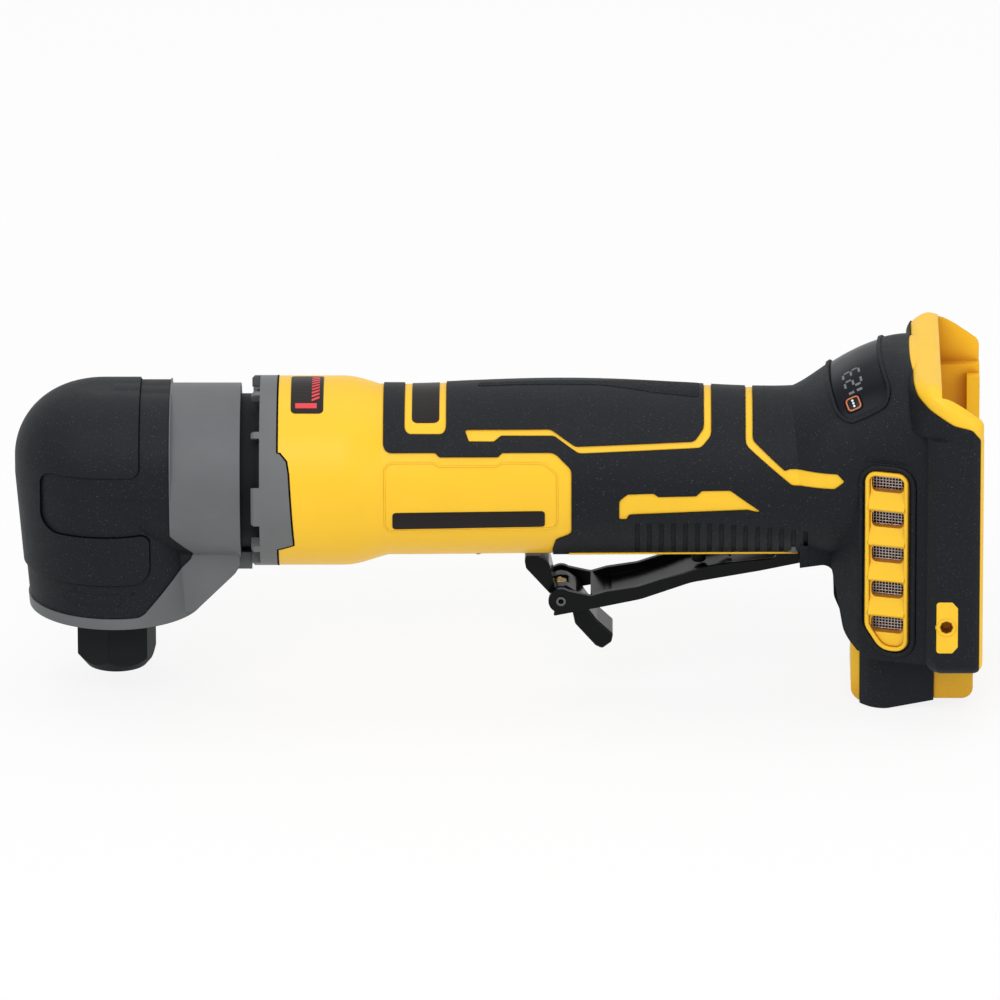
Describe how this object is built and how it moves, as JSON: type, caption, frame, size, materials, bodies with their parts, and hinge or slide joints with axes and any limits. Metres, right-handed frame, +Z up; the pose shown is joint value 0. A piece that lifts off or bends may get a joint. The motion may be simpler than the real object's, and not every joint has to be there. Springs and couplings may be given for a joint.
{
  "type": "cordless die grinder",
  "caption": "Right-angle cordless die grinder: bevel-gear head with collet, barrel grip with squeeze lever and lock-off, sloped display and a rear foot that takes a sliding battery.",
  "frame": {"origin": "centre of the collet's mouth", "axes": "+Z up along the spindle, into the head; +X from the head along the barrel to the battery foot; -Y is the side that the picture shows"},
  "size_m": [0.2978, 0.081, 0.1122],
  "materials": {
    "yellow_plastic": "satin moulded",
    "black_rubber": "fine textured",
    "grey_plastic": "satin moulded",
    "black_plastic": "satin moulded",
    "gloss_black_plastic": "gloss",
    "orange_plastic": "gloss",
    "cast_aluminium": "cast, painted grey",
    "black_steel": "black oxide",
    "steel": "machined",
    "copper": "enamelled wire",
    "brass": "machined",
    "wire_insulation": "smooth"
  },
  "bodies": {
    "body": {"left_housing": "yellow_plastic", "right_housing": "yellow_plastic", "left_grip_overmould": "black_rubber", "right_grip_overmould": "black_rubber", "left_foot_bumper": "black_rubber", "right_foot_bumper": "black_rubber", "gear_case_boot": "black_rubber", "exhaust_ring": "grey_plastic", "motor_neck": "black_plastic", "motor_end_plate": "black_plastic", "switch_body": "black_plastic", "terminal_block": "black_plastic", "control_module": "black_plastic", "display_lens": "gloss_black_plastic", "gear_case": "cast_aluminium", "spindle_cover": "cast_aluminium", "cover_screws": "black_steel", "housing_screws": "black_steel", "lower_spindle_bearing": "steel", "upper_spindle_bearing": "steel", "front_motor_bearing": "steel", "rear_motor_bearing": "steel", "stator_core": "steel", "lever_pivot_pin": "steel", "lever_return_spring": "steel", "left_intake_screen": "steel", "right_intake_screen": "steel", "stator_windings": "copper", "belt_hook_inserts": "brass", "terminal_blades": "brass", "motor_leads": "wire_insulation", "battery_leads": "wire_insulation"},
    "speed_button": {"speed_button": "orange_plastic"},
    "lever": {"lever": "black_steel", "lock_off_pin": "steel", "lock_off_spring": "brass"},
    "lock_off": {"lock_off_tab": "black_steel"},
    "switch_plunger": {"switch_plunger": "black_plastic"},
    "spindle": {"spindle": "steel", "ring_gear": "steel", "gear_circlip": "steel", "collet": "steel", "collet_nut": "black_steel"},
    "rotor": {"motor_shaft": "steel", "bevel_pinion": "steel", "cooling_fan": "black_plastic", "rotor_core": "steel"}
  },
  "joints": [
    {"name": "lever_squeeze", "type": "hinge", "parent": "body", "child": "lever", "pos_m": [0.209, 0, 0.043], "axis": [0, 1, 0], "range_deg": [0, 3.5], "stiffness_Nm_per_rad": 1.5, "springref_deg": -8.59, "deforming": ["lever_return_spring"]},
    {"name": "lock_off_swing", "type": "hinge", "parent": "lever", "child": "lock_off", "pos_m": [0.1375, 0, 0.0241], "axis": [0, -1, 0], "range_deg": [0, 32]},
    {"name": "plunger_push", "type": "slide", "parent": "body", "child": "switch_plunger", "axis": [0, 0, 1], "range_m": [0, 0.0018]},
    {"name": "button_press", "type": "slide", "parent": "body", "child": "speed_button", "axis": [0.3044, 0.7071, -0.6382], "range_m": [0, 0.0006], "stiffness_N_per_m": 400, "springref_m": -0.001},
    {"name": "rotor_spin", "type": "hinge", "parent": "body", "child": "rotor", "pos_m": [0.07, 0, 0.063], "axis": [1, 0, 0], "continuous": true},
    {"name": "spindle_spin", "type": "hinge", "parent": "body", "child": "spindle", "pos_m": [0, 0, 0.03], "axis": [0, 0, 1], "continuous": true}
  ],
  "couplings": [
    {"joint": "lock_off_swing", "follows": "lever_squeeze", "ratio": 9.1419},
    {"joint": "plunger_push", "follows": "lever_squeeze", "m_per_rad": 0.029463},
    {"joint": "spindle_spin", "follows": "rotor_spin", "ratio": 0.65}
  ]
}
